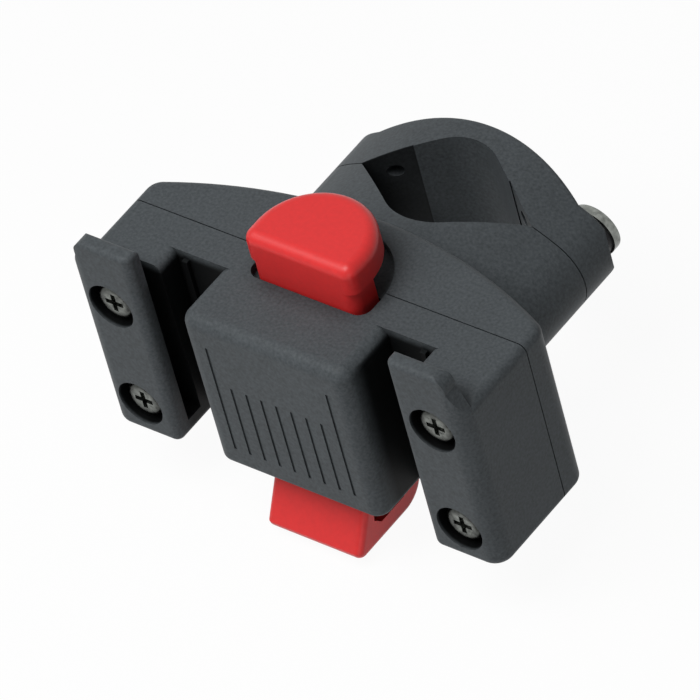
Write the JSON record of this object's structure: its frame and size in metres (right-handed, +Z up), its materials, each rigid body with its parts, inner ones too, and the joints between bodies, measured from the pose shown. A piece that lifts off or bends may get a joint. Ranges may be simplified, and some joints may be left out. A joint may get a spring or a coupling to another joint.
{
  "type": "bike bag adapter",
  "caption": "Two-part plastic housing with side rail slots and front plates, an oval tube clamp behind it, and a red push button whose hook holds the bag's bar below.",
  "frame": {"origin": "on the clamped tube's axis, at the middle height of the clamp", "axes": "+Z up along the tube, -Y to the front where the bag hangs, +X across the adapter"},
  "size_m": [0.1016, 0.0798, 0.0703],
  "materials": {
    "shell_plastic": "fine grained matte",
    "red_plastic": "satin moulded",
    "zinc_steel": "zinc plated",
    "dark_steel": "black oxide",
    "spring_steel": "bright wire"
  },
  "bodies": {
    "housing": {"front_shell": "shell_plastic", "rear_shell": "shell_plastic", "housing_screws": "zinc_steel", "clamp_nuts": "zinc_steel", "return_spring": "spring_steel"},
    "slider": {"release_slider": "red_plastic"},
    "cap": {"clamp_cap": "shell_plastic", "clamp_washers": "dark_steel"},
    "bolt_right": {"clamp_bolt_right": "zinc_steel"},
    "bolt_left": {"clamp_bolt_left": "zinc_steel"}
  },
  "joints": [
    {"name": "button_press", "type": "slide", "parent": "housing", "child": "slider", "axis": [0, 0, -1], "range_m": [0, 0.0055], "stiffness_N_per_m": 1450, "springref_m": -0.0028, "deforming": ["return_spring"]},
    {"name": "cap_slide", "type": "slide", "parent": "housing", "child": "cap", "axis": [0, 1, 0], "range_m": [0, 0.005]},
    {"name": "bolt_right_turn", "type": "hinge", "parent": "cap", "child": "bolt_right", "pos_m": [0.0257, 0, 0.0005], "axis": [0, 1, 0], "range_deg": [0, 1800]},
    {"name": "bolt_left_turn", "type": "hinge", "parent": "cap", "child": "bolt_left", "pos_m": [-0.0257, 0, 0.0005], "axis": [0, 1, 0], "range_deg": [0, 1800]}
  ],
  "couplings": [
    {"joint": "bolt_right_turn", "follows": "cap_slide", "rad_per_m": 6283},
    {"joint": "bolt_left_turn", "follows": "cap_slide", "rad_per_m": 6283}
  ]
}
